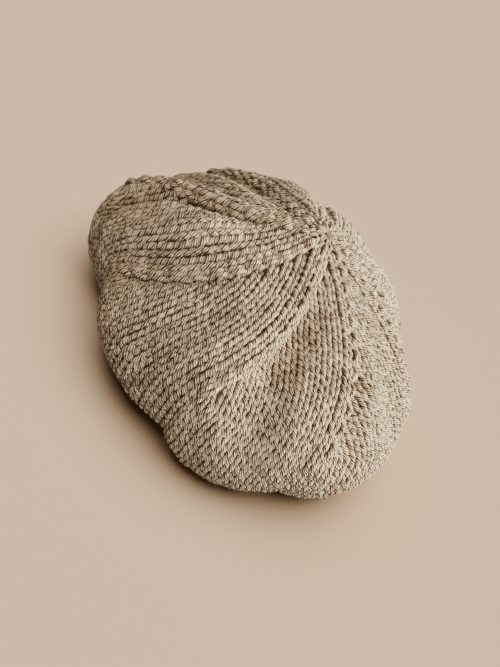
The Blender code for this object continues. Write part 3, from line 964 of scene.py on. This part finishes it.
def lay_floor(stage, context):
    """A wide level floor, which the camera sees but which sends no light back to the beret."""
    corners = [(x * FLOOR_REACH, y * FLOOR_REACH, 0.0) for x, y in ((-1, -1), (1, -1), (1, 1), (-1, 1))]
    data = bpy.data.meshes.new("floor")
    data.from_pydata(corners, [], [(0, 1, 2, 3)])
    data.materials.append(floor_material("studio_floor", stage))
    floor = add_object("floor", data, context)
    floor.visible_diffuse = False
    return floor


def place_camera(stage, context):
    """The camera, in front of the beret and turned about its line of sight."""
    back = direction(0.0, stage.camera_height)
    level_right = Vector((1.0, 0.0, 0.0))
    level_up = Vector((0.0, math.sin(stage.camera_height), math.cos(stage.camera_height)))
    turn, lean = math.cos(stage.camera_roll), math.sin(stage.camera_roll)
    right = level_right * turn + level_up * lean
    up = level_up * turn - level_right * lean
    aim = Vector((AXIS.x, AXIS.y, stage.aim_level)) + right * stage.aim[0] + up * stage.aim[1]
    data = bpy.data.cameras.new("camera")
    data.lens = stage.lens
    data.clip_start, data.clip_end = 0.01, 50.0
    camera = add_object("camera", data, context)
    turned = Matrix((right, up, back)).transposed().to_4x4()
    camera.matrix_world = Matrix.Translation(aim + back * stage.camera_distance) @ turned
    context.scene.camera = camera


def hang_lights(floor, context):
    """The lights on the beret, the wash on the floor and a faint sky."""
    beret = bpy.data.collections.new("beret")
    for piece in context.scene.objects:
        if piece.type == "MESH" and piece is not floor:
            beret.objects.link(piece)
    ground = bpy.data.collections.new("ground")
    ground.objects.link(floor)
    middle = Vector((AXIS.x, AXIS.y, LIGHT_AIM_LEVEL))
    for name, power, size, colour, azimuth, elevation in STUDIO_LIGHTS:
        away = direction(math.radians(azimuth), math.radians(elevation))
        data = bpy.data.lights.new(name, "AREA")
        data.energy, data.size, data.color = power, size, colour
        light = add_object(name, data, context)
        light.location = middle + away * LIGHT_DISTANCE
        light.rotation_euler = (middle - light.location).to_track_quat("-Z", "Y").to_euler()
        light.light_linking.receiver_collection = beret
    data = bpy.data.lights.new("floor wash", "SUN")
    data.energy, data.angle = WASH_POWER, WASH_ANGLE
    add_object("floor wash", data, context).light_linking.receiver_collection = ground
    world = bpy.data.worlds.new("studio")
    world.use_nodes = True
    feed(world.node_tree, world.node_tree.nodes["Background"],
         {"Color": SKY_COLOUR, "Strength": SKY_STRENGTH})
    context.scene.world = world


class BERET_OT_set_stage(bpy.types.Operator):
    """Lay the floor, hang the lights and place the camera"""

    bl_idname = "beret.set_stage"
    bl_label = "Set the Stage"

    def execute(self, context):
        stage = context.scene.beret_stage
        floor = lay_floor(stage, context)
        place_camera(stage, context)
        hang_lights(floor, context)
        return {"FINISHED"}


class BERET_PT_sidebar(bpy.types.Panel):
    """The beret's steps and sizes"""

    bl_idname = "BERET_PT_sidebar"
    bl_label = "Knit Beret"
    bl_space_type = "VIEW_3D"
    bl_region_type = "UI"
    bl_category = "Beret"

    def draw(self, context):
        for operator in OPERATORS:
            self.layout.operator(operator.bl_idname)
        for holder, _ in SETTINGS:
            settings = getattr(context.scene, holder)
            box = self.layout.box()
            for name in settings.__annotations__:
                box.prop(settings, name)


SETTINGS = [("beret_knit", KnitSettings), ("beret_band", BandSettings),
            ("beret_yarn", YarnSettings), ("beret_stage", StageSettings)]
OPERATORS = [BERET_OT_knit_crown, BERET_OT_fill_fabric, BERET_OT_knit_band, BERET_OT_set_stage]


def register():
    """Register the settings, the operators and the panel."""
    for holder, group in SETTINGS:
        bpy.utils.register_class(group)
        setattr(bpy.types.Scene, holder, PointerProperty(type=group))
    for kind in [*OPERATORS, BERET_PT_sidebar]:
        bpy.utils.register_class(kind)


def unregister():
    """Undo register."""
    for kind in [BERET_PT_sidebar, *reversed(OPERATORS)]:
        bpy.utils.unregister_class(kind)
    for holder, group in reversed(SETTINGS):
        delattr(bpy.types.Scene, holder)
        bpy.utils.unregister_class(group)


def main():
    register()
    bpy.ops.beret.knit_crown()
    bpy.ops.beret.fill_fabric()
    bpy.ops.beret.knit_band()
    bpy.ops.beret.set_stage()


if __name__ == "__main__":
    main()
